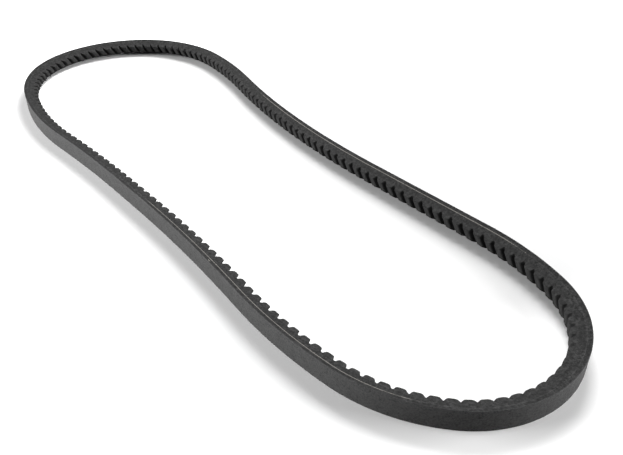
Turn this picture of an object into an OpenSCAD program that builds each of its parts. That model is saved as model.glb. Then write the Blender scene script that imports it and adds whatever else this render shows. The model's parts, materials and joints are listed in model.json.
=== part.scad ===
// Raw-edge cogged V-belt, relaxed, lying on one sidewall.
// The loop is a chain of tangent arcs and straight runs, drawn along the back face.
// Origin: centre of the loop's bounding box, on the resting plane. +X runs along the loop, +Z up.

/* [Section] */
// Width across the back face
top_w = 10; // [10:0.5:13]
// Thickness from the back face to the cog tips
belt_t = 8; // [7.5:0.5:9]
// Angle between the two sidewalls
wedge_angle = 40; // [34:1:40]

/* [Layers] */
// Thickness of one fabric ply on the back
fabric_t = 0.4; // [0.3:0.05:0.45]
// Thickness of the tension rubber above the adhesion gum
tension_t = 0.4; // [0.3:0.05:0.45]
// Thickness of the adhesion gum on each side of the cord plane
gum_t = 0.8; // [0.6:0.05:0.9]

/* [Tensile cord] */
// Diameter of the tensile cord
cord_d = 1; // [0.8:0.05:1.05]
// Spacing of neighbouring cord turns
cord_pitch = 1.08; // [1.08:0.01:1.16]

/* [Cogs] */
// Number of cogs round the belt
cog_count = 155; // [145:1:165]
// Depth of a notch between two cogs
notch_depth = 2.4; // [1.8:0.1:2.8]
// Length of a cog's land along the belt
land_l = 3.2; // [2.8:0.1:3.6]
// Radius at the root of a notch
root_r = 0.55; // [0.4:0.05:0.6]
// Angle of the notches from straight across the belt
notch_lean = 35; // [20:1:40]

/* [Loop] */
// Radius of the narrow bend, on the back face like every loop dimension
narrow_bend_r = 53.2; // [52:0.1:54]
// Turn of the narrow bend
narrow_bend_turn = 116.9; // [116:0.1:118]
// Radius of the arc that leads into the narrow bend
narrow_lead_r = 78; // [76:0.5:80]
// Turn of the arc that leads into the narrow bend
narrow_lead_turn = 36.7; // [36:0.1:37.5]
// Radius of the arc that leads into the wide bend
wide_lead_r = 80; // [78:0.5:82]
// Turn of the arc that leads into the wide bend
wide_lead_turn = 27.3; // [26.5:0.1:28]
// Straight length in the first span
first_straight_l = 24; // [22:0.5:26]
// Inward bow radius of the first span
first_bow_r = 900; // [850:10:950]
// Inward bow radius of the second span
second_bow_r = 545; // [530:5:560]

/* [Hidden] */
$fn = 48;

// Depths below the back face, where one layer ends and the next begins.
fabric_split = fabric_t;
tension_top = 2 * fabric_t;
gum_top = tension_top + tension_t;
cord_depth = gum_top + gum_t;
gum_bottom = cord_depth + gum_t;
ply_below_notch = 0.6;
cog_ply_top = belt_t - notch_depth - ply_below_notch;
cord_count = 8;

// Rebuilding: how far a cutter passes an edge, arc segments per millimetre of a bend's radius,
// and the share of a straight run that each of its two bars covers.
past_edge = 1;
bend_fineness = 1.5;
bar_share = 0.6;

// The loop is a list of runs. Each run is [radius, turn]. A positive turn bends the loop round
// its pulley side and a negative one bows it inwards. A radius of 0 marks a straight run, and
// its turn is a length. The first span's straight heads along +X, the second's along -X.
first_bow_turn = 5.8;
first_shoulder = [255, 12.9];
narrow_exit_r = 133;
second_bow_turn = 15.2;
second_shoulder = [249, 12.2];
wide_exit = [92, 22];
last_shoulder = [200, 20.7];
last_bow_turn = 4.3;
narrow_exit_turn = 180 + first_bow_turn - first_shoulder[1] - narrow_lead_turn - narrow_bend_turn;
wide_bend_turn =
    180 + second_bow_turn - second_shoulder[1] - wide_lead_turn
    - wide_exit[1] - last_shoulder[1] + last_bow_turn;
function loop_runs(second_straight_l, wide_bend_r) = [
    [0, first_straight_l],
    [first_bow_r, -first_bow_turn],
    first_shoulder,
    [narrow_lead_r, narrow_lead_turn],
    [narrow_bend_r, narrow_bend_turn],
    [narrow_exit_r, narrow_exit_turn],
    [0, second_straight_l],
    [second_bow_r, -second_bow_turn],
    second_shoulder,
    [wide_lead_r, wide_lead_turn],
    [wide_bend_r, wide_bend_turn],
    wide_exit,
    last_shoulder,
    [first_bow_r, -last_bow_turn]
];

// Poses are [x, y, heading] on the back face line.
function left(heading) = [-sin(heading), cos(heading)];
function ahead(heading) = [cos(heading), sin(heading)];
function xy(pose) = [pose[0], pose[1]];
function is_straight(run) = run[0] == 0;
function bend_sign(run) = run[1] < 0 ? -1 : 1;
function bend_centre(pose, run) = xy(pose) + bend_sign(run) * run[0] * left(pose[2]);
function with_heading(point, heading) = [point[0], point[1], heading];
function advance(pose, run) =
    is_straight(run)
    ? with_heading(xy(pose) + run[1] * ahead(pose[2]), pose[2])
    : with_heading(
        bend_centre(pose, run) - bend_sign(run) * run[0] * left(pose[2] + run[1]),
        pose[2] + run[1]
    );
function poses_along(runs, pose, i = 0) =
    i == len(runs) ? [pose] : concat([pose], poses_along(runs, advance(pose, runs[i]), i + 1));
function last(list) = list[len(list) - 1];

// The gap at the loop's end changes evenly with the second straight's length, which moves it
// along X only, and with the wide bend's radius. So three trials give the pair that closes it.
function gap(straight_l, bend_r) = xy(last(poses_along(loop_runs(straight_l, bend_r), [0, 0, 0])));
trial_gap = gap(1, 1);
gap_per_straight = gap(2, 1) - trial_gap;
gap_per_bend_r = gap(1, 2) - trial_gap;
wide_bend_r = 1 - trial_gap[1] / gap_per_bend_r[1];
second_straight_l = 1 - (trial_gap[0] + (wide_bend_r - 1) * gap_per_bend_r[0]) / gap_per_straight[0];
runs = loop_runs(second_straight_l, wide_bend_r);
run_count = len(runs);
raw_poses = poses_along(runs, [0, 0, 0]);

// Reach of the loop in a direction: the far side of a bend that faces it, or the end of a run.
function faces(pose, run, direction) =
    !is_straight(run) && run[1] > 0 && (direction + 90 - pose[2] + 720) % 360 <= run[1];
function run_reach(pose, run, direction) =
    faces(pose, run, direction)
    ? bend_centre(pose, run) * ahead(direction) + run[0]
    : xy(pose) * ahead(direction);
function loop_reach(direction) =
    max([for (i = [0:run_count - 1]) run_reach(raw_poses[i], runs[i], direction)]);
loop_centre = [
    (loop_reach(0) - loop_reach(180)) / 2,
    (loop_reach(90) - loop_reach(270)) / 2
];
poses = [for (p = raw_poses) with_heading(xy(p) - loop_centre, p[2])];

// Lengths along the cord line, where a bend neither stretches nor shortens the belt.
function line_r(run, depth) = run[0] - bend_sign(run) * depth;
function line_l(run, depth) =
    is_straight(run) ? run[1] : abs(run[1]) * PI / 180 * line_r(run, depth);
run_starts = [
    for (
        i = 0, s = 0;
        i <= run_count;
        s = s + (i < run_count ? line_l(runs[i], cord_depth) : 0), i = i + 1
    ) s
];
cog_pitch = last(run_starts) / cog_count;

// Half the belt's width at a depth below the back face.
function half_w(depth) = top_w / 2 - depth * tan(wedge_angle / 2);

// Notches: centred on the cord line at equal steps. Lands keep their length, so the mouth
// narrows where the belt bends round the pulley side and opens where it bows inwards.
function run_at(s, i = 0) = s < run_starts[i + 1] || i == run_count - 1 ? i : run_at(s, i + 1);
function curvature(run) = is_straight(run) ? 0 : bend_sign(run) / line_r(run, cord_depth);
function part_run(run, l) =
    is_straight(run) ? [0, l] : [run[0], run[1] * l / line_l(run, cord_depth)];
function pose_at(s) = let (i = run_at(s)) advance(poses[i], part_run(runs[i], s - run_starts[i]));
function mouth_w(run) = cog_pitch * (1 - curvature(run) * (belt_t - cord_depth)) - land_l;
function notch_place(j) = (j + 0.5) * cog_pitch;

// A notch crosses the belt at a lean, so its ends lie ahead of its middle and behind it.
notch_l = top_w / cos(notch_lean) + 2 * past_edge;
notch_reach = cog_pitch / 2 + top_w / 2 * tan(notch_lean);
function near_run(s, i) = s > run_starts[i] - notch_reach && s < run_starts[i + 1] + notch_reach;
function notch_meets_run(j, i) =
    let (s = notch_place(j), lap = last(run_starts))
    near_run(s, i) || near_run(s - lap, i) || near_run(s + lap, i);

// Outline of a notch, with x square to its length and y the depth below the back face: a round
// root and two flanks that start inside it, at a share of its radius, and open to the mouth.
flank_share = 0.8;
module notch_outline(mouth) {
    root_y = belt_t - notch_depth + root_r;
    flank_x = flank_share * root_r;
    lean = (mouth / 2 - flank_x) / (belt_t - root_y);
    edge_x = mouth / 2 + past_edge * lean;
    translate([0, root_y]) circle(r = root_r);
    polygon([
        [-flank_x, root_y],
        [flank_x, root_y],
        [edge_x, belt_t + past_edge],
        [-edge_x, belt_t + past_edge]
    ]);
}

module notch(j) {
    s = notch_place(j);
    pose = pose_at(s);
    translate([pose[0], pose[1], top_w / 2])
        rotate([0, notch_lean, pose[2]])
            translate([0, 0, -notch_l / 2])
                linear_extrude(height = notch_l)
                    notch_outline(mouth_w(runs[run_at(s)]) * cos(notch_lean));
}

// Moves in two steps, a coarse one and the small rest, so that both are short numbers
// and neighbouring runs meet exactly when the evaluated model is written with few digits.
function coarse(v) = is_list(v) ? [for (c = v) coarse(c)] : round(v * 100) / 100;
module move_to(point) {
    translate(concat(coarse(point), [0]))
        translate(concat(point - coarse(point), [0]))
            children();
}

// A section swept straight ahead, from a place on the back face line.
module straight_bar(point, heading, from_l, to_l) {
    move_to(point)
        rotate([0, 0, heading])
            translate([from_l, 0, 0])
                rotate([90, 0, 90])
                    linear_extrude(height = to_l - from_l)
                        children();
}

// A section turned about a bend's centre. A bow has its centre outside the loop.
module bend(centre, radius, start_angle, turn, bow) {
    move_to(centre)
        rotate_extrude(angle = turn, start = start_angle, $fn = ceil(radius * bend_fineness))
            translate([coarse(radius), 0])
                translate([radius - coarse(radius), 0])
                    mirror([bow ? 0 : 1, 0])
                        children();
}

// Sweeps a section along one run. The section has x as depth and y as height. A straight run
// is two overlapping bars, one from each end, so that both of its ends are exact.
module sweep_run(i) {
    run = runs[i];
    pose = poses[i];
    if (is_straight(run)) {
        bar_l = ceil(run[1] * bar_share);
        straight_bar(xy(pose), pose[2], 0, bar_l) children();
        straight_bar(xy(poses[i + 1]), pose[2], -bar_l, 0) children();
    } else if (run[1] > 0) {
        bend(bend_centre(pose, run), run[0], pose[2] - 90, run[1], false) children();
    } else {
        bend(bend_centre(pose, run), run[0], pose[2] + 90 + run[1], -run[1], true) children();
    }
}

module sweep_loop() {
    for (i = [0:run_count - 1]) sweep_run(i) children();
}

// Slice of the tapered section between two depths.
module layer_section(top, bottom) {
    polygon([
        [top, top_w / 2 - half_w(top)],
        [bottom, top_w / 2 - half_w(bottom)],
        [bottom, top_w / 2 + half_w(bottom)],
        [top, top_w / 2 + half_w(top)]
    ]);
}

function cord_z(turn) = top_w / 2 + (turn - (cord_count + 1) / 2) * cord_pitch;

module cord_circle(turn) {
    translate([cord_depth, cord_z(turn)]) circle(d = cord_d);
}

module gum_section(top, bottom) {
    difference() {
        layer_section(top, bottom);
        for (turn = [1:cord_count]) cord_circle(turn);
    }
}

module back_fabric_outer() {
    color("dimgray") sweep_loop() layer_section(0, fabric_split);
}

module back_fabric_inner() {
    color("slategray") sweep_loop() layer_section(fabric_split, tension_top);
}

module tension_rubber() {
    color([0.14, 0.14, 0.15]) sweep_loop() layer_section(tension_top, gum_top);
}

module adhesion_gum_upper() {
    color([0.2, 0.2, 0.21]) sweep_loop() gum_section(gum_top, cord_depth);
}

module adhesion_gum_lower() {
    color([0.2, 0.2, 0.21]) sweep_loop() gum_section(cord_depth, gum_bottom);
}

// One turn of the wound cord. The sidewalls cut the outermost turns flush.
module cord_turn(turn) {
    color("wheat") sweep_loop() intersection() {
        cord_circle(turn);
        layer_section(gum_top, gum_bottom);
    }
}

module compression_ply() {
    color([0.16, 0.16, 0.17]) sweep_loop() layer_section(gum_bottom, cog_ply_top);
}

module cog_ply() {
    color([0.12, 0.12, 0.13])
        for (i = [0:run_count - 1])
            difference() {
                sweep_run(i) layer_section(cog_ply_top, belt_t);
                for (j = [0:cog_count - 1])
                    if (notch_meets_run(j, i)) notch(j);
            }
}

back_fabric_outer();
back_fabric_inner();
tension_rubber();
adhesion_gum_upper();
adhesion_gum_lower();
cord_turn(1);  // cord_turn_1
cord_turn(2);  // cord_turn_2
cord_turn(3);  // cord_turn_3
cord_turn(4);  // cord_turn_4
cord_turn(5);  // cord_turn_5
cord_turn(6);  // cord_turn_6
cord_turn(7);  // cord_turn_7
cord_turn(8);  // cord_turn_8
compression_ply();
cog_ply();
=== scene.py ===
"""Looks of a raw-edge cogged V-belt that lies on one sidewall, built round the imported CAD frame.

Everything is in metres. A place on the belt has belt coordinates: along (arc length on the cord
line, from the middle of the mount first_span_back), depth (below the back face, towards the
inside of the loop) and level (above or below the belt's mid-plane, which lies level). The path,
the section and the notches are all read from the frame.
"""

import json
import math
import random

import bpy
import numpy as np
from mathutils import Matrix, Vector, noise

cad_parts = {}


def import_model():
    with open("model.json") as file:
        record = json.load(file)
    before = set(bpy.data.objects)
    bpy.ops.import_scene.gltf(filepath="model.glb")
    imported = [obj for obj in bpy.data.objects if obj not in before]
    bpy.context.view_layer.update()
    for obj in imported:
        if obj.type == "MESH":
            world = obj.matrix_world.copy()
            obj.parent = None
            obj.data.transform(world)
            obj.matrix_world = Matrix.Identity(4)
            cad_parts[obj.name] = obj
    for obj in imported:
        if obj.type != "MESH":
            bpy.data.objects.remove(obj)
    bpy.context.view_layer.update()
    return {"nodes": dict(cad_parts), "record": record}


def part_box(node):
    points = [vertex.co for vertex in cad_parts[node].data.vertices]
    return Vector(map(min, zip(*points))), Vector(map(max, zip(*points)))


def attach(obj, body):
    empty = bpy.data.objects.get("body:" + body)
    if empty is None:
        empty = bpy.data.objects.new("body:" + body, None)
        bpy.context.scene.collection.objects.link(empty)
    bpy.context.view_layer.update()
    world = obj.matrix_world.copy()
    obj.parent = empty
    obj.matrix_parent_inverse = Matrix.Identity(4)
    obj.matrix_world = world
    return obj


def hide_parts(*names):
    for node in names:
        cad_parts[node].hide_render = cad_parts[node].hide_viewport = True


MM = 0.001
SEED = 7
CAD_SLACK = 0.02 * MM
LAYER_STEP = 0.7 * MM
WALL_WEAR = 0.03 * MM
SHARP_FROM = math.radians(38)

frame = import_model()

# --------------------------------------------------------------------------------------
# What the frame says: the path, the section and the notches


def node_points(name):
    """A CAD node's distinct vertices, as rows of x, y, z."""
    mesh = frame["nodes"][name].data
    points = np.empty(len(mesh.vertices) * 3)
    mesh.vertices.foreach_get("co", points)
    return np.unique(points.reshape(-1, 3).round(8), axis=0)


def unit(angle):
    """Unit vectors at these angles."""
    return np.stack([np.cos(angle), np.sin(angle)], axis=-1)


class LoopPath:
    """The back face's closed outline as tangent arcs between the frame's corner points."""

    def __init__(self, corners):
        order = np.argsort(np.arctan2(corners[:, 1], corners[:, 0]))
        self.corners = corners[order]
        chords = np.roll(self.corners, -1, axis=0) - self.corners
        self.chord_l = np.linalg.norm(chords, axis=1)
        self.chord_angle = np.unwrap(np.arctan2(chords[:, 1], chords[:, 0]))
        self.half_turn = self.solve_half_turns()
        self.half_turn[np.abs(self.half_turn) < 1e-7] = 1e-7
        self.back_l = self.chord_l * self.half_turn / np.sin(self.half_turn)
        self.set_line(0.0)

    def solve_half_turns(self):
        """An arc's chord points along the mean of its end headings. This holds all round."""
        here = np.eye(len(self.chord_l))
        after = np.roll(here, 1, axis=1)
        full_turn = np.zeros(len(self.chord_l))
        full_turn[-1] = 2 * math.pi
        last_angle = np.roll(self.chord_angle, 1)
        last_angle[0] -= 2 * math.pi
        last_l = np.roll(self.chord_l, 1)
        guess = (last_angle * self.chord_l + self.chord_angle * last_l) / (self.chord_l + last_l)
        guess_weight = 0.02
        rows = np.concatenate([here + after, guess_weight * here])
        values = np.concatenate([2 * self.chord_angle - full_turn, guess_weight * guess])
        headings = np.linalg.lstsq(rows, values, rcond=None)[0]
        return (np.roll(headings, -1) + full_turn - headings) / 2

    def set_line(self, depth, zero_point=None):
        """Measures along on the line at this depth, from the place nearest to a point."""
        self.starts = np.concatenate([[0], np.cumsum(self.back_l - 2 * self.half_turn * depth)])
        self.length = self.starts[-1]
        self.zero = 0.0
        if zero_point is not None:
            self.zero = self.nearest(zero_point)

    def at(self, along):
        """Back face points, headings and the line's curvatures at these places."""
        along = np.mod(np.asarray(along) + self.zero, self.length)
        i = np.searchsorted(self.starts, along, side="right") - 1
        i = np.clip(i, 0, len(self.chord_l) - 1)
        run = self.starts[i + 1] - self.starts[i]
        half = self.half_turn[i]
        swing = half * (2 * (along - self.starts[i]) / run - 1)
        radius = self.chord_l[i] / (2 * np.sin(half))
        forward = radius * (np.sin(swing) + np.sin(half))
        aside = radius * (np.cos(half) - np.cos(swing))
        angle = self.chord_angle[i]
        across = unit(angle + math.pi / 2)
        points = self.corners[i] + forward[:, None] * unit(angle) + aside[:, None] * across
        return points, angle + swing, 2 * half / run

    def nearest(self, point):
        """The place whose back face point is nearest to this one."""
        places = np.arange(0, self.length, 0.02 * MM)
        return places[np.linalg.norm(self.at(places)[0] - point, axis=1).argmin()]


def mount_named(name):
    return next(m for m in frame["record"]["mounts"] if m["name"] == name)


back_corners = node_points("back_fabric_outer")
TOP_W = back_corners[:, 2].max()
flank_axis = mount_named("first_span_upper_flank")["axis"]
WEDGE_SLOPE = math.hypot(flank_axis[0], flank_axis[1]) / flank_axis[2]


def half_width(depth):
    """Half the belt's width at a depth."""
    return TOP_W / 2 - depth * WEDGE_SLOPE


def wall_depths(points):
    """Depths of points on the upper sidewall, from their heights."""
    return (TOP_W - points[:, 2]) / WEDGE_SLOPE


def layer_depths(name):
    """Where a plain layer starts and ends below the back face."""
    points = node_points(name)
    depths = wall_depths(points[points[:, 2] > TOP_W / 2])
    return depths.min(), depths.max()


PLY_SEAM, COVER_BOTTOM = layer_depths("back_fabric_inner")
GUM_TOP = layer_depths("tension_rubber")[1]
GUM_BOTTOM, COG_TOP = layer_depths("compression_ply")
CORD_DEPTH = (GUM_TOP + GUM_BOTTOM) / 2
path = LoopPath(back_corners[back_corners[:, 2] > TOP_W - 1e-6][:, :2])
path.set_line(CORD_DEPTH, np.array(mount_named("first_span_back")["pos_m"][:2]))


def straight_places(points):
    """Points' along and depth, measured straight ahead of and beside the mount first_span_back."""
    origin, heading, _ = path.at([0.0])
    offset = points[:, :2] - origin[0]
    return offset @ unit(heading[0]), offset @ unit(heading[0] + math.pi / 2)


def near_mount(points, reach=14 * MM):
    """The points near that mount, where the belt is straight, with their along and depth."""
    along, depth = straight_places(points)
    close = np.abs(along) + np.abs(depth) < reach
    return points[close], along[close], depth[close]


BELT_T = near_mount(node_points("cog_ply"))[2].max()


def even_places(spacing):
    """Places all round the belt at about this spacing."""
    count = round(path.length / spacing)
    return np.arange(count) * path.length / count


def read_lean():
    """How far a notch runs along the belt for each unit of height, from the CAD cogs' edges."""
    mesh = frame["nodes"]["cog_ply"].data
    vertices = np.empty(len(mesh.vertices) * 3)
    mesh.vertices.foreach_get("co", vertices)
    edges = np.empty(len(mesh.edges) * 2, np.int32)
    mesh.edges.foreach_get("vertices", edges)
    ends = vertices.reshape(-1, 3)[edges.reshape(-1, 2)]
    along, depth = straight_places(ends[:, 0])
    rise = ends[:, 1] - ends[:, 0]
    close = np.abs(along) + np.abs(depth) < 40 * MM
    wall_to_wall = np.abs(rise[:, 2]) > 1.9 * half_width(BELT_T)
    rise = rise[close & wall_to_wall]
    heading = path.at([0.0])[1][0]
    return float(np.median((rise[:, :2] @ unit(heading)) / rise[:, 2]))


def read_notches(lean):
    """The notches' number, root depth, mouth and first place, from the CAD cogs."""
    points = node_points("cog_ply")
    above_tips = points[:, 2] > TOP_W / 2 + half_width(BELT_T - 0.5 * MM)
    below_seam = points[:, 2] < TOP_W / 2 + half_width(COG_TOP + 0.1 * MM)
    rims = points[above_tips & below_seam]
    root = wall_depths(rims).min()
    places = even_places(0.5 * MM)
    line = path.at(places)[0]
    rim_along = np.sort([places[np.linalg.norm(line - p, axis=1).argmin()] for p in rims[:, :2]])
    steps = np.diff(rim_along, append=rim_along[0] + path.length)
    count = int((steps > 2 * MM).sum())

    near_rims, rim_along, _ = near_mount(rims)
    middle = rim_along - lean * (near_rims[:, 2] - TOP_W / 2)
    same_notch = np.abs(middle - middle[np.abs(middle).argmin()]) < 1.2 * MM
    place = (middle[same_notch].min() + middle[same_notch].max()) / 2
    near, along, depth = near_mount(points, 18 * MM)
    at_tip = depth > BELT_T - CAD_SLACK
    on_top = near[:, 2] > TOP_W / 2 + half_width(BELT_T) - CAD_SLACK
    mouth = 2 * np.abs(along[at_tip & on_top] - place - lean * half_width(BELT_T)).min()
    return count, root, mouth, place


NOTCH_LEAN = read_lean()
NOTCH_SQUARE = math.cos(math.atan(NOTCH_LEAN))
COG_COUNT, ROOT_DEPTH, MOUTH, FIRST_NOTCH = read_notches(NOTCH_LEAN)
PITCH = path.length / COG_COUNT
LAND_L = PITCH - MOUTH

# --------------------------------------------------------------------------------------
# Materials. A shader reads belt coordinates, in millimetres, from the attribute belt_mm:
# x along, y level, z depth.


class Shader:
    """Short names for building a material's node tree."""

    def __init__(self, name):
        self.material = bpy.data.materials.new(name)
        self.material.use_nodes = True
        self.tree = self.material.node_tree
        self.surface = self.tree.nodes["Principled BSDF"]

    def node(self, kind, inputs=(), **settings):
        node = self.tree.nodes.new(kind)
        for key, value in settings.items():
            setattr(node, key, value)
        for key, value in dict(inputs).items():
            self.put(node.inputs[key], value)
        return node

    def put(self, socket, value):
        """Links an output to a socket, or sets the socket's value."""
        if isinstance(value, bpy.types.NodeSocket):
            self.tree.links.new(value, socket)
        else:
            socket.default_value = value

    def maths(self, operation, a, b=0.0):
        return self.node("ShaderNodeMath", {0: a, 1: b}, operation=operation).outputs[0]

    def place(self):
        return self.node("ShaderNodeAttribute", attribute_name="belt_mm").outputs["Vector"]

    def number(self, name):
        return self.node("ShaderNodeAttribute", attribute_name=name).outputs["Fac"]

    def scaled(self, vector, scale, turn=(0, 0, 0)):
        """A vector turned, then scaled on each axis."""
        turned = self.node("ShaderNodeMapping", {"Vector": vector, "Rotation": turn}).outputs[0]
        return self.node("ShaderNodeMapping", {"Vector": turned, "Scale": scale}).outputs[0]

    def noise(self, vector, scale, detail=2.0, roughness=0.5):
        inputs = {"Vector": vector, "Scale": scale, "Detail": detail, "Roughness": roughness}
        return self.node("ShaderNodeTexNoise", inputs).outputs["Fac"]

    def spots(self, vector, scale, sharpness):
        """Small spots: 1 at a cell's centre, falling to 0."""
        inputs = {"Vector": vector, "Scale": scale}
        distance = self.node("ShaderNodeTexVoronoi", inputs).outputs["Distance"]
        return self.ramp(distance, 0.0, sharpness, 1.0, 0.0)

    def ramp(self, value, low, high, out_low=0.0, out_high=1.0):
        inputs = {0: value, 1: low, 2: high, 3: out_low, 4: out_high}
        node = self.node("ShaderNodeMapRange", clamp=True, interpolation_type="SMOOTHSTEP")
        for key, item in inputs.items():
            self.put(node.inputs[key], item)
        return node.outputs[0]

    def mix(self, share, a, b):
        """Mixes two colours or grey levels."""
        node = self.node("ShaderNodeMix", data_type="RGBA")
        self.put(node.inputs[0], share)
        self.put(node.inputs[6], grey(a))
        self.put(node.inputs[7], grey(b))
        return node.outputs[2]

    def over(self, colour, mask, strength, paint):
        """Paints over a colour where a mask is 1, as far as the strength goes."""
        return self.mix(self.maths("MULTIPLY", mask, strength), colour, paint)

    def axis(self, vector, number):
        """One of a vector's three numbers, from 0 for x."""
        return self.node("ShaderNodeSeparateXYZ", {0: vector}).outputs[number]

    def bump(self, height, distance, strength=1.0, normal=None):
        inputs = {"Height": height, "Distance": distance, "Strength": strength}
        if normal is not None:
            inputs["Normal"] = normal
        return self.node("ShaderNodeBump", inputs).outputs[0]

    def finish(self, **inputs):
        names = {
            "colour": "Base Color",
            "roughness": "Roughness",
            "normal": "Normal",
            "specular": "Specular IOR Level",
        }
        for key, value in inputs.items():
            self.put(self.surface.inputs[names[key]], value)
        return self.material


def grey(value):
    """A colour from a grey level. Colours and sockets pass through."""
    if isinstance(value, (int, float)):
        return (value, value, value, 1.0)
    return value


def ground_look(s, place, level):
    """Colour, relief and roughness of a ground sidewall: crumbs, chopped fibre ends and pits."""
    crumbs = s.noise(place, 0.8, 5.0, 0.8)
    blotches = s.noise(place, 0.35, 2.0)
    fibres = s.noise(s.scaled(place, (1.0, 1.0, 3.2)), 1.5, 3.0, 0.6)
    patches = s.ramp(s.noise(place, 0.8, 2.0), 0.42, 0.6)
    specks = s.maths("MULTIPLY", s.spots(place, 1.1, 0.3), patches)
    pits = s.spots(s.scaled(place, (1, 1, 1), (0.6, 0.3, 0.2)), 0.9, 0.25)
    colour = s.mix(s.ramp(crumbs, 0.36, 0.64), level * 0.1, level * 2.2)
    colour = s.over(colour, s.ramp(blotches, 0.35, 0.65), 0.5, level * 0.4)
    colour = s.over(colour, s.ramp(fibres, 0.58, 0.74), 0.5, level * 2.6)
    colour = s.over(colour, specks, 0.6, level * 4.2)
    # Painted shade: the pits, which are hollows in the relief, are painted darker.
    colour = s.over(colour, pits, 0.7, level * 0.2)
    relief = s.maths("SUBTRACT", s.maths("ADD", crumbs, specks), pits)
    normal = s.bump(relief, 0.1 * MM, 1.0)
    normal = s.bump(blotches, 0.3 * MM, 0.5, normal)
    return colour, normal, s.ramp(crumbs, 0.2, 0.8, 0.75, 0.97)


def ground_rubber(name, level):
    s = Shader(name)
    colour, normal, roughness = ground_look(s, s.place(), level)
    return s.finish(colour=colour, roughness=roughness, normal=normal, specular=0.15)


def moulded_rubber(name, level):
    """The cogs: ground like the sidewall there, smoother and darker in the mould's faces."""
    s = Shader(name)
    place = s.place()
    moulded = s.number("moulded")
    colour, normal, roughness = ground_look(s, place, level)
    skin = s.noise(s.scaled(place, (1.0, 0.35, 1.0)), 1.1, 3.0, 0.55)
    grain = s.noise(place, 4.0, 3.0, 0.6)
    face = s.mix(s.ramp(skin, 0.3, 0.75), level * 0.7, level * 1.5)
    face = s.over(face, s.ramp(grain, 0.5, 0.7), 0.5, level * 2.2)
    colour = s.mix(moulded, colour, face)
    normal = s.bump(s.maths("ADD", skin, s.maths("MULTIPLY", grain, 0.4)), 0.1 * MM, 0.5, normal)
    roughness = s.mix(moulded, roughness, 0.66)
    return s.finish(colour=colour, roughness=roughness, normal=normal, specular=0.2)


def bias_fabric(name, level, rubber):
    """Rubber-filled fabric laid on the bias, worn down to ground rubber at the belt's edges."""
    s = Shader(name)
    place = s.place()
    wander = s.noise(place, 0.5, 2.0)
    thread_l = 0.55
    lean = math.radians(38)
    threads = []
    for turn in (lean, -lean):
        turned = s.scaled(place, (1, 1, 1), (0, 0, turn))
        across_thread = s.axis(turned, 1)
        wobbly = s.maths("ADD", across_thread, s.maths("MULTIPLY", wander, 0.5))
        phase = s.maths("MULTIPLY", wobbly, 2 * math.pi / thread_l)
        threads.append(s.ramp(s.maths("SINE", phase), -1.0, 1.0))
    weave = s.maths("MAXIMUM", threads[0], s.maths("MULTIPLY", threads[1], 0.85))
    fill = s.noise(place, 1.1, 4.0, 0.65)
    fuzz = s.noise(s.scaled(place, (0.6, 1.5, 1.0), (0, 0, lean)), 4.0, 3.0, 0.7)
    smears = s.noise(s.scaled(place, (0.12, 1.0, 1.0)), 0.6, 3.0, 0.6)
    colour = s.mix(s.ramp(weave, 0.25, 0.95), level * 0.8, level * 1.1)
    colour = s.over(colour, s.ramp(fill, 0.45, 0.75), 0.5, level * 0.62)
    colour = s.over(colour, s.ramp(fuzz, 0.5, 0.75), 0.5, level * 1.8)
    colour = s.over(colour, s.ramp(smears, 0.5, 0.8), 0.3, level * 1.4)
    relief = s.maths("ADD", s.maths("MULTIPLY", weave, 0.7), s.maths("MULTIPLY", fuzz, 0.5))
    normal = s.bump(relief, 0.06 * MM, 0.8)
    normal = s.bump(fill, 0.12 * MM, 0.5, normal)
    roughness = s.ramp(fill, 0.3, 0.75, 0.5, 0.7)
    depth = s.axis(place, 2)
    ragged = s.maths("ADD", depth, s.maths("MULTIPLY", s.noise(place, 1.3, 3.0, 0.7), 0.2))
    worn = s.ramp(ragged, 0.1, 0.2)
    ground, ground_normal, ground_roughness = ground_look(s, place, rubber)
    normals = {0: worn, 4: normal, 5: ground_normal}
    normal = s.node("ShaderNodeMix", normals, data_type="VECTOR").outputs[1]
    colour = s.mix(worn, colour, ground)
    roughness = s.mix(worn, roughness, ground_roughness)
    return s.finish(colour=colour, roughness=roughness, normal=normal, specular=0.45)


def tensile_cord(name, level, rubber):
    """Pale cord, cut open at the sidewalls. Ground rubber smears over the cut on the bends."""
    s = Shader(name)
    place = s.place()
    strands = s.noise(s.scaled(place, (0.5, 2.0, 2.0), (0, 0, 0.5)), 3.5, 3.0, 0.6)
    colour = s.mix(s.ramp(strands, 0.3, 0.7), tint(level * 0.6), tint(level * 1.35))
    along = s.axis(place, 0)
    patchy = s.maths("MULTIPLY", s.maths("SUBTRACT", s.noise(place, 0.3, 3.0, 0.7), 0.5), 50.0)
    along = s.maths("ADD", along, patchy)
    clear = 0.0
    for start, end in CLEAR_CORD_MM:
        opens = s.ramp(along, start - 6, start + 6)
        closes = s.ramp(along, end - 9, end + 9, 1.0, 0.0)
        clear = s.maths("MAXIMUM", clear, s.maths("MULTIPLY", opens, closes))
    stains = s.ramp(s.noise(place, 1.1, 3.0, 0.6), 0.56, 0.7, 1.0, 0.35)
    ground, ground_normal, _ = ground_look(s, place, rubber)
    colour = s.mix(s.maths("MULTIPLY", clear, stains), ground, colour)
    normal = s.bump(strands, 0.05 * MM, 0.8, ground_normal)
    return s.finish(colour=colour, roughness=0.8, normal=normal, specular=0.25)


def loose_fibre(name, level):
    s = Shader(name)
    grain = s.noise(s.node("ShaderNodeTexCoord").outputs["Object"], 6000.0, 2.0)
    colour = s.mix(s.ramp(grain, 0.3, 0.7), tint(level * 0.7), tint(level * 1.2))
    normal = s.bump(grain, 0.02 * MM, 0.5)
    return s.finish(colour=colour, roughness=0.8, normal=normal, specular=0.2)


def tint(level):
    """The cord's colour, a little warmer than grey."""
    return (level * 1.06, level, level * 0.92, 1.0)


# How much light each material throws back.
RUBBER = 0.018
FABRIC = 0.066
CORD = 0.15
FRAY = 0.48
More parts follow.
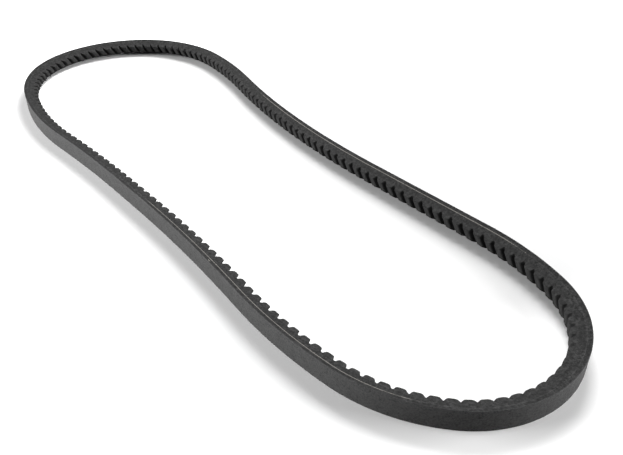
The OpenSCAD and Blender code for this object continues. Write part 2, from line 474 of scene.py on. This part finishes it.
# From where to where along the belt the cut cord shows clearly.
CLEAR_CORD_MM = [(18, 188), (336, 545)]
MATERIALS = {
    "cover": bias_fabric("bias_fabric_cover", FABRIC, RUBBER * 0.9),
    "inner_cover": ground_rubber("fabric_edge", RUBBER * 0.85),
    "tension": ground_rubber("tension_rubber", RUBBER * 0.95),
    "gum": ground_rubber("adhesion_gum", RUBBER * 1.05),
    "compression": ground_rubber("compression_rubber", RUBBER),
    "cogs": moulded_rubber("cog_rubber", RUBBER),
    "cord": tensile_cord("polyester_cord", CORD, RUBBER * 1.05),
    "fray": loose_fibre("loose_fibre", FRAY),
}

# --------------------------------------------------------------------------------------
# Lofted pieces


def ground_relief(along, level, depth):
    """Small unevenness of a ground sidewall. It closes up after one turn of the loop."""
    side = 10.0 if level > 0 else -10.0
    angle = 2 * math.pi * along / path.length
    ring = path.length / (2 * math.pi)
    spot = Vector((ring * math.cos(angle), ring * math.sin(angle), depth)) / MM
    coarse = noise.noise(spot / 3.0 + Vector((0, 0, side)))
    fine = noise.noise(spot / 0.8 + Vector((0, 0, side)))
    return (0.03 * coarse + 0.02 * fine) * MM


def loft(name, along, rings, material, moulded=None, lean=0.0):
    """A closed tube of rings all round the belt. rings[i] lists (depth, level) at along[i].

    A lean carries a ring's points ahead by this share of their level.
    """
    rings = np.asarray(rings, float)
    ring_count, ring_size = rings.shape[:2]
    depth = rings[:, :, 0]
    level = rings[:, :, 1]
    on_wall = np.abs(np.abs(level) - half_width(depth)) < 0.1 * CAD_SLACK
    for i, j in zip(*np.nonzero(on_wall)):
        push = ground_relief(along[i], level[i, j], depth[i, j]) - WALL_WEAR
        rings[i, j, 1] += math.copysign(push, level[i, j])
    ahead = along[:, None] + lean * level
    points, headings, _ = path.at(ahead.ravel())
    flat = points + depth.reshape(-1, 1) * unit(headings + math.pi / 2)
    vertices = np.concatenate([flat, rings[:, :, 1].reshape(-1, 1) + TOP_W / 2], axis=1)
    i, j = np.divmod(np.arange(ring_count * ring_size), ring_size)
    corners = [(i, j), (i + 1, j), (i + 1, j + 1), (i, j + 1)]
    faces = np.stack([(a % ring_count) * ring_size + b % ring_size for a, b in corners], axis=1)
    mesh = bpy.data.meshes.new(name)
    mesh.from_pydata(vertices.tolist(), [], faces.tolist())
    ahead = np.vstack([ahead, ahead[:1] + path.length])
    level = np.vstack([level, level[:1]])
    depth = np.vstack([depth, depth[:1]])
    places = [
        np.stack([row[a, b % ring_size] for row in (ahead, level, depth)], axis=-1) for a, b in corners
    ]
    places = np.stack(places, axis=1)
    belt_mm = mesh.attributes.new("belt_mm", "FLOAT_VECTOR", "CORNER")
    belt_mm.data.foreach_set("vector", (places / MM).astype(np.float32).ravel())
    if moulded is not None:
        layer = mesh.attributes.new("moulded", "FLOAT", "POINT")
        layer.data.foreach_set("value", np.asarray(moulded, np.float32).ravel())
    mesh.shade_smooth()
    mesh.set_sharp_from_angle(angle=SHARP_FROM)
    mesh.materials.append(MATERIALS[material])
    piece = bpy.data.objects.new(name, mesh)
    bpy.context.scene.collection.objects.link(piece)
    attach(piece, "root")
    return piece


def mirrored(upper):
    """A section's ring from its upper half, listed from the back face inwards."""
    return list(upper) + [(depth, -level) for depth, level in reversed(upper)]


def wall(top, bottom, count):
    """Points down a sidewall."""
    return [(d, half_width(d)) for d in np.linspace(top, bottom, count)]


def plain_layer(name, node, top, bottom, material):
    """A layer with nothing but its two faces and its two strips of sidewall."""
    along = even_places(LAYER_STEP)
    ring = mirrored(wall(top, bottom, 3 + round((bottom - top) / LAYER_STEP)))
    piece = loft(name, along, [ring] * len(along), material)
    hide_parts(node)


def back_cover():
    """The outer fabric ply. Its corners are a little rounded and its face is not quite flat."""
    top, bottom = layer_depths("back_fabric_outer")
    corner_r = 0.14 * MM
    roughness = 0.05 * MM
    half_face_points = 6
    along = even_places(LAYER_STEP)
    corner = [
        (corner_r * (1 - math.sin(a)), half_width(0) - corner_r * (1 - math.cos(a)))
        for a in np.radians([90, 60, 30])
    ]
    face_levels = np.linspace(0.3 * MM, corner[0][1] - 0.3 * MM, half_face_points)
    face = [(0.0, level) for level in face_levels]
    side = wall(corner_r, bottom, 2)
    ring = mirrored(face + corner + side)
    rings = np.array([ring] * len(along))
    for i, place in enumerate(along):
        angle = 2 * math.pi * place / path.length
        round_spot = Vector((math.cos(angle), math.sin(angle), 0)) * path.length / (2 * math.pi)
        for j, (depth, level) in enumerate(ring):
            if depth < corner_r:
                spot = round_spot + Vector((0, 0, level))
                rings[i, j, 0] += roughness * (0.5 + 0.5 * noise.noise(spot / (2.5 * MM)))
    piece = loft("back_cover", along, rings, "cover")
    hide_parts("back_fabric_outer")


def notch_profile(mouth):
    """Half a notch cut square, from root to land: distances from its middle and depths."""
    root_r = 0.5 * MM
    shoulder_r = 0.95 * MM
    centre_y = ROOT_DEPTH + root_r
    reach = math.hypot(mouth / 2, BELT_T - centre_y)
    tangent = math.atan2(BELT_T - centre_y, mouth / 2) - math.acos(root_r / reach)
    flank = tangent + math.pi / 2
    set_back = shoulder_r * math.tan(flank / 2)
    root = np.linspace(-math.pi / 2, tangent, 5)
    shoulder = np.linspace(flank + math.pi / 2, math.pi / 2, 6)
    x = np.append(root_r * np.cos(root), mouth / 2 + set_back + shoulder_r * np.cos(shoulder))
    y = np.append(centre_y + root_r * np.sin(root), BELT_T - shoulder_r + shoulder_r * np.sin(shoulder))
    x[0] = 0.0
    return np.insert(x, 5, (x[4] + x[5]) / 2), np.insert(y, 5, (y[4] + y[5]) / 2)


def cog_stations():
    """Places along the belt with the cogs' depth at each, notch by notch."""
    rng = random.Random(SEED)
    along = []
    bottom = []
    for j in range(COG_COUNT):
        middle = FIRST_NOTCH + j * PITCH
        curvature = path.at([middle])[2][0]
        mouth = PITCH * (1 - curvature * (BELT_T - CORD_DEPTH)) - LAND_L
        x, y = notch_profile(mouth * rng.uniform(0.97, 1.03) * NOTCH_SQUARE)
        ahead = x / NOTCH_SQUARE / (1 - curvature * (y - CORD_DEPTH))
        left_over = PITCH / 2 - ahead[-1]
        land = ahead[-1] + left_over * np.array([0.35, 0.7])
        ahead = np.append(ahead, land)
        y = np.append(y, [BELT_T, BELT_T])
        along += list(middle - ahead[:0:-1]) + list(middle + ahead)
        bottom += list(y[:0:-1]) + list(y)
        along.append(middle + PITCH / 2)
        bottom.append(BELT_T)
    return np.array(along), np.array(bottom)


def cogs():
    """The cogs, with rounded roots and shoulders and a worn edge along each sidewall."""
    along, bottom = cog_stations()
    edge_r = 0.2 * MM
    rings = []
    moulded = []
    for place, end in zip(along, bottom):
        if end > ROOT_DEPTH + 1 * MM:
            end -= WALL_WEAR * (1 + noise.noise(Vector((place / (1.7 * MM), 0, 3))))
        upper = wall(COG_TOP, end - edge_r, 5)
        upper.append((end - 0.3 * edge_r, half_width(end) - 0.12 * edge_r))
        upper.append((end, half_width(end) - 0.8 * edge_r))
        flags = [0] * 5 + [0.2, 0.8]
        for share in (0.75, 0.4, 0.12):
            upper.append((end, half_width(end) * share))
            flags.append(1)
        rings.append(mirrored(upper))
        moulded.append(flags + flags[::-1])
    piece = loft("cogs", along, rings, "cogs", moulded, NOTCH_LEAN)
    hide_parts("cog_ply")


def cord_turns():
    """Each cord turn's level, from the frame's nodes, and the cord's radius."""
    boxes = {name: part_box(name) for name in frame["nodes"] if name.startswith("cord_turn")}
    levels = {name: (low[2] + high[2]) / 2 - TOP_W / 2 for name, (low, high) in boxes.items()}
    radius = np.median([(high[2] - low[2]) / 2 for low, high in boxes.values()])
    return levels, float(radius)


def cord_arc(level, radius, first, last, count):
    """Points round a cord turn's section. Angle 0 is level, 90 degrees faces the inside."""
    angles = np.linspace(first, last, count)
    return [(CORD_DEPTH + radius * math.sin(a), level + radius * math.cos(a)) for a in angles]


def cut_angles(level, radius):
    """Where a sidewall cuts a cord turn's section, or its level angle twice."""
    to_wall = (half_width(CORD_DEPTH) - level) * math.cos(math.atan(WEDGE_SLOPE))
    if to_wall >= radius:
        return 0.0, 0.0
    half = math.acos(to_wall / radius)
    middle = math.atan(WEDGE_SLOPE)
    return middle - half, middle + half


def gum_and_cords():
    """The adhesion gum in two halves, with a channel in each for every cord turn."""
    levels, radius = cord_turns()
    above = sorted((level for level in levels.values() if level > 0), reverse=True)
    along = even_places(1.2 * MM)
    points = 6
    outer_half = []
    inner_half = []
    for level in above:
        first, last = cut_angles(level, radius)
        outer_half += cord_arc(level, radius, first, -math.pi, points)
        inner_half += cord_arc(level, radius, last, math.pi, points)
    top_wall = wall(GUM_TOP, outer_half[0][0], 3)[:-1]
    bottom_wall = wall(inner_half[0][0], GUM_BOTTOM, 3)[1:]
    halves = {
        "gum_upper": ("adhesion_gum_upper", top_wall + outer_half),
        "gum_lower": ("adhesion_gum_lower", inner_half[::-1] + bottom_wall),
    }
    for name, (node, upper) in halves.items():
        piece = loft(name, along, [mirrored(upper)] * len(along), "gum")
        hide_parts(node)
    for name, level in levels.items():
        first, last = cut_angles(abs(level), radius)
        ring = cord_arc(abs(level), radius, last, math.pi, points)
        ring += cord_arc(abs(level), radius, math.pi, 2 * math.pi + first, points)[1:]
        if first == last:
            ring.pop()
        if level < 0:
            ring = [(depth, -across) for depth, across in reversed(ring)]
        rings = [ring] * len(along)
        piece = loft(name.replace("turn", "winding"), along, rings, "cord")
        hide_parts(name)


def fibre(rng, root, aim, rise):
    """One curled fibre's vertices and faces. It is thick at the root and thin at the tip."""
    steps = 6
    sides = 6
    curl = Vector((rng.uniform(-1, 1), rng.uniform(-1, 1), rng.uniform(-0.5, 0.2)))
    length = rng.uniform(0.6, 1.2) * MM
    thick = rng.uniform(0.06, 0.1) * MM
    aim = Vector((*aim, rise)).normalized()
    u = aim.orthogonal().normalized()
    v = aim.cross(u)
    vertices = []
    faces = []
    for i in range(steps):
        share = i / (steps - 1)
        middle = root + aim * length * share + curl * 0.3 * length * share * share
        r = thick * (1 - 0.75 * share)
        for k in range(sides):
            a = 2 * math.pi * k / sides
            vertices.append(middle + r * (math.cos(a) * u + math.sin(a) * v))
    for i in range(steps - 1):
        for k in range(sides):
            a = i * sides + k
            b = i * sides + (k + 1) % sides
            faces.append((a, b, b + sides, a + sides))
    faces.append(tuple(reversed(range(sides))))
    faces.append(tuple((steps - 1) * sides + k for k in range(sides)))
    return vertices, faces


def frayed_tuft():
    """Short loose fibres where the cover is nicked at its upper edge."""
    rng = random.Random(SEED)
    fibre_count = 9
    tuft_along = 80 * MM
    tuft_depth = 0.9 * MM
    points, headings, _ = path.at([tuft_along])
    inward = unit(headings[0] + math.pi / 2)
    ahead = unit(headings[0])
    base = points[0] + inward * tuft_depth
    height = TOP_W / 2 + half_width(tuft_depth) - 0.05 * MM
    vertices = []
    faces = []
    for _ in range(fibre_count):
        root = Vector((*(base + ahead * rng.uniform(-0.35, 0.35) * MM), height))
        aim = -inward * rng.uniform(0.0, 0.8) + ahead * rng.uniform(-0.8, 0.8)
        new_vertices, new_faces = fibre(rng, root, aim, rng.uniform(0.3, 1.0))
        faces += [[len(vertices) + k for k in face] for face in new_faces]
        vertices += new_vertices
    mesh = bpy.data.meshes.new("frayed_tuft")
    mesh.from_pydata(vertices, [], faces)
    mesh.shade_smooth()
    mesh.materials.append(MATERIALS["fray"])
    piece = bpy.data.objects.new("frayed_tuft", mesh)
    bpy.context.scene.collection.objects.link(piece)
    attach(piece, "root")


back_cover()
plain_layer("inner_cover", "back_fabric_inner", PLY_SEAM, COVER_BOTTOM, "inner_cover")
plain_layer("tension_layer", "tension_rubber", COVER_BOTTOM, GUM_TOP, "tension")
gum_and_cords()
plain_layer(
    "compression_layer", "compression_ply", GUM_BOTTOM, COG_TOP, "compression"
)
cogs()
frayed_tuft()

# --------------------------------------------------------------------------------------
# Floor, light and camera

# The camera's turn from -Y and its rise in degrees, its distance from what it looks at, and its
# focal length as a share of the sensor's width.
VIEW_TURN = 50.08
VIEW_RISE = 34.31
VIEW_L = 336.4 * MM
TARGET = Vector((71.0 * MM, -9.6 * MM, 0))
LENS_RATIO = 1.102


def toward(turn, rise):
    """Direction at a turn from the camera's side (positive to the right) and a rise."""
    a = math.radians(VIEW_TURN + turn)
    e = math.radians(rise)
    return Vector((math.sin(a) * math.cos(e), -math.cos(a) * math.cos(e), math.sin(e)))


def camera():
    data = bpy.data.cameras.new("camera")
    data.lens = LENS_RATIO * data.sensor_width
    data.clip_start = 0.01
    eye = bpy.data.objects.new("camera", data)
    direction = toward(0, VIEW_RISE)
    eye.location = TARGET + VIEW_L * direction
    eye.rotation_euler = direction.to_track_quat("Z", "Y").to_euler()
    bpy.context.scene.collection.objects.link(eye)
    bpy.context.scene.camera = eye


def softbox(name, turn, rise, distance, size, watts, aim=(0, 0, 0)):
    """A soft light in metres and watts, seen from its aim at a turn and a rise."""
    data = bpy.data.lights.new(name, "AREA")
    data.shape = "RECTANGLE"
    data.size, data.size_y = size
    data.energy = watts
    lamp = bpy.data.objects.new(name, data)
    direction = toward(turn, rise)
    lamp.location = Vector(aim) + distance * direction
    lamp.rotation_euler = direction.to_track_quat("Z", "Y").to_euler()
    bpy.context.scene.collection.objects.link(lamp)


def floor():
    """A pale floor that throws back less light than it shows. Its camera colour carries painted light:
    lighter outside the loop than inside.
    """
    reach = 1.15
    darkest_at = (0, 0.045)
    thrown_back = 0.3
    shown_inside = 0.68
    painted_light_outside = 1.0
    mesh = bpy.data.meshes.new("floor")
    corners = [(-reach, -reach, 0), (reach, -reach, 0), (reach, reach, 0), (-reach, reach, 0)]
    mesh.from_pydata(corners, [], [(0, 1, 2, 3)])
    plane = bpy.data.objects.new("floor", mesh)
    bpy.context.scene.collection.objects.link(plane)
    s = Shader("white_paper")
    seen = s.node("ShaderNodeLightPath").outputs["Is Camera Ray"]
    place = s.node("ShaderNodeTexCoord").outputs["Object"]
    shift = {"Vector": place, "Location": (-darkest_at[0], -darkest_at[1], 0)}
    shifted = s.node("ShaderNodeMapping", shift).outputs[0]
    spread = s.scaled(shifted, (5.0, 10.0, 1))
    outside = s.node("ShaderNodeVectorMath", {0: spread}, operation="LENGTH").outputs["Value"]
    # Painted light: the camera sees the floor lighter outside the loop than inside it.
    shown = s.mix(s.ramp(outside, 0.85, 1.05), shown_inside, painted_light_outside)
    colour = s.mix(seen, thrown_back, shown)
    mesh.materials.append(s.finish(colour=colour, roughness=0.95, specular=0.0))


def world():
    """A dim room that looks white where the camera sees it."""
    studio = bpy.data.worlds.new("studio")
    bpy.context.scene.world = studio
    studio.use_nodes = True
    nodes = studio.node_tree.nodes
    seen = nodes.new("ShaderNodeLightPath").outputs["Is Camera Ray"]
    strength = nodes.new("ShaderNodeMix")
    dim = 0.12
    white = 1.2
    strength.inputs["A"].default_value = dim
    strength.inputs["B"].default_value = white
    studio.node_tree.links.new(seen, strength.inputs[0])
    studio.node_tree.links.new(strength.outputs[0], nodes["Background"].inputs["Strength"])
    nodes["Background"].inputs["Color"].default_value = grey(1.0)


camera()
floor()
world()
softbox("back_key", turn=163, rise=46, distance=0.7, size=(0.44, 0.44), watts=9.4, aim=(-0.02, 0.05, 0))
softbox("left_fill", turn=-88, rise=14, distance=1.5, size=(0.9, 0.6), watts=39)
softbox("right_fill", turn=85, rise=14, distance=1.5, size=(0.9, 0.6), watts=32)
bpy.context.scene.view_settings.view_transform = "Standard"
